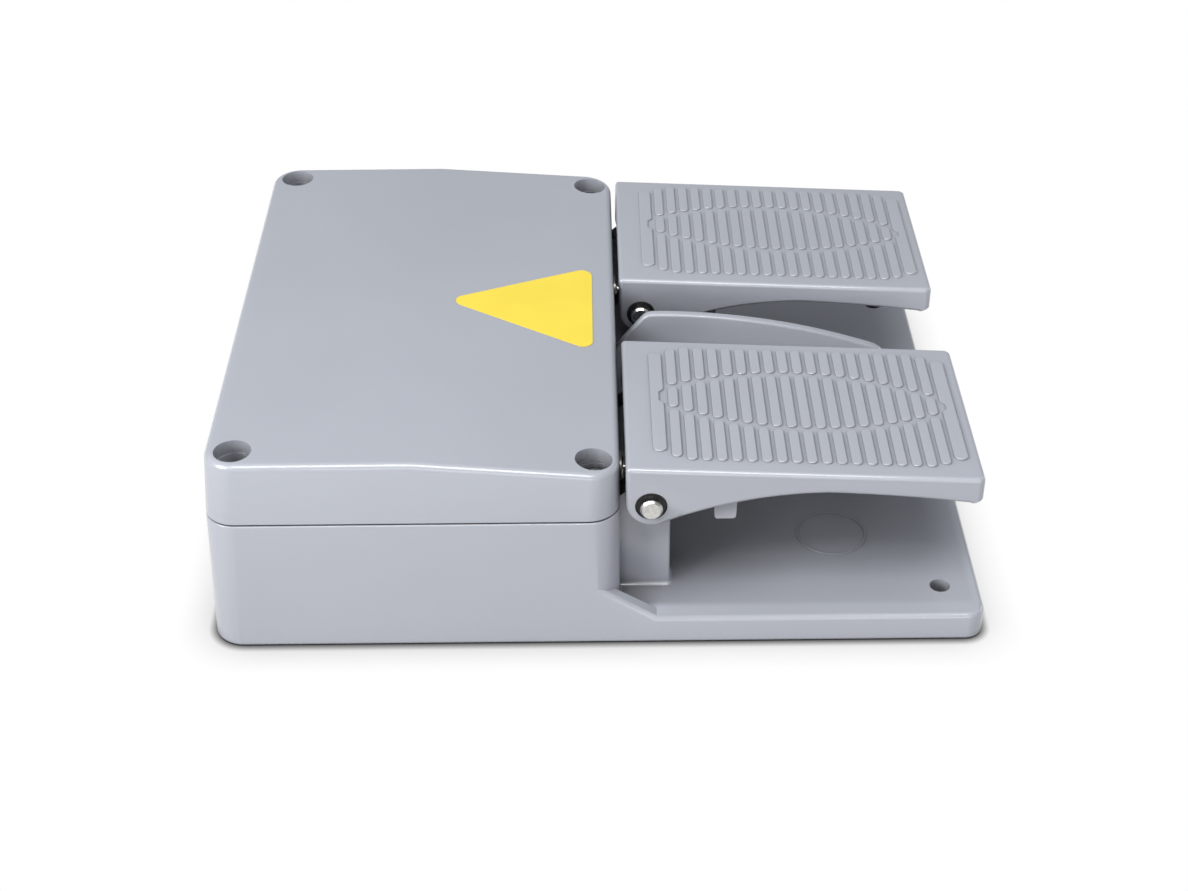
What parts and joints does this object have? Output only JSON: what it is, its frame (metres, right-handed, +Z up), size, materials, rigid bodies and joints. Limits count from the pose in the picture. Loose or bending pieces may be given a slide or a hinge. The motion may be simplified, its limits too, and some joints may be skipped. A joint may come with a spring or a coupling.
{
  "type": "double foot switch",
  "caption": "Double foot switch: a cast metal housing with a screwed lid and two hinged, spring-loaded pedals side by side over a floor plate.",
  "frame": {"origin": "on the floor, at the middle of the base's bounding box", "axes": "+X from the housing to the pedal tips, +Y from the near pedal to the far pedal, +Z up"},
  "size_m": [0.245, 0.2058, 0.0662],
  "materials": {
    "grey_paint": "satin powder coat on cast aluminium",
    "zinc_plated_steel": "bright zinc plated",
    "bright_spring_steel": "drawn spring wire",
    "black_spring_steel": "blackened",
    "bronze": "sintered or rolled bronze",
    "brass": "turned",
    "black_rubber": "matt",
    "yellow_vinyl": "semi-gloss vinyl film",
    "dark_moulding": "moulded",
    "red_moulding": "moulded"
  },
  "bodies": {
    "base": {"base_box": "grey_paint", "base_inlet_wall": "grey_paint", "base_plate": "grey_paint", "base_posts": "grey_paint", "base_rib": "grey_paint", "lid_casting": "grey_paint", "lid_gasket": "black_rubber", "lid_screws": "zinc_plated_steel", "lid_label": "yellow_vinyl", "switch_plate": "zinc_plated_steel", "plate_screws": "zinc_plated_steel", "earth_screw": "brass", "earth_washer": "brass", "near_shaft_bushes": "bronze", "near_torsion_spring": "bright_spring_steel", "near_guide_bush": "brass", "near_guide_nut": "brass", "near_wiper_seal": "black_rubber", "near_switch_case": "dark_moulding", "near_switch_cover": "dark_moulding", "near_contact_blade": "bronze", "near_terminals": "brass", "near_terminal_screws": "zinc_plated_steel", "near_switch_screws": "zinc_plated_steel", "far_shaft_bushes": "bronze", "far_torsion_spring": "bright_spring_steel", "far_guide_bush": "brass", "far_guide_nut": "brass", "far_wiper_seal": "black_rubber", "far_switch_case": "dark_moulding", "far_switch_cover": "dark_moulding", "far_contact_blade": "bronze", "far_terminals": "brass", "far_terminal_screws": "zinc_plated_steel", "far_switch_screws": "zinc_plated_steel"},
    "near_pedal_body": {"near_pedal": "grey_paint", "near_hinge_shaft": "zinc_plated_steel", "near_circlips": "black_spring_steel"},
    "near_plunger_body": {"near_plunger": "zinc_plated_steel", "near_plunger_clip": "black_spring_steel"},
    "near_button_body": {"near_switch_button": "red_moulding"},
    "far_pedal_body": {"far_pedal": "grey_paint", "far_hinge_shaft": "zinc_plated_steel", "far_circlips": "black_spring_steel"},
    "far_plunger_body": {"far_plunger": "zinc_plated_steel", "far_plunger_clip": "black_spring_steel"},
    "far_button_body": {"far_switch_button": "red_moulding"}
  },
  "joints": [
    {"name": "near_pedal_hinge", "type": "hinge", "parent": "base", "child": "near_pedal_body", "pos_m": [0.0164, -0.057, 0.0475], "axis": [0, 1, 0], "range_deg": [0, 10], "stiffness_Nm_per_rad": 6, "springref_deg": -8.59, "deforming": ["near_torsion_spring"]},
    {"name": "near_plunger_slide", "type": "slide", "parent": "base", "child": "near_plunger_body", "axis": [-1, 0, 0], "range_m": [0, 0.0022]},
    {"name": "near_button_slide", "type": "slide", "parent": "base", "child": "near_button_body", "axis": [-1, 0, 0], "range_m": [0, 0.0022]},
    {"name": "far_pedal_hinge", "type": "hinge", "parent": "base", "child": "far_pedal_body", "pos_m": [0.0164, 0.057, 0.0475], "axis": [0, 1, 0], "range_deg": [0, 10], "stiffness_Nm_per_rad": 6, "springref_deg": -8.59, "deforming": ["far_torsion_spring"]},
    {"name": "far_plunger_slide", "type": "slide", "parent": "base", "child": "far_plunger_body", "axis": [-1, 0, 0], "range_m": [0, 0.0022]},
    {"name": "far_button_slide", "type": "slide", "parent": "base", "child": "far_button_body", "axis": [-1, 0, 0], "range_m": [0, 0.0022]}
  ],
  "couplings": [
    {"joint": "near_plunger_slide", "follows": "near_pedal_hinge", "m_per_rad": 0.0124},
    {"joint": "near_button_slide", "follows": "near_pedal_hinge", "m_per_rad": 0.0124},
    {"joint": "far_plunger_slide", "follows": "far_pedal_hinge", "m_per_rad": 0.0124},
    {"joint": "far_button_slide", "follows": "far_pedal_hinge", "m_per_rad": 0.0124}
  ]
}
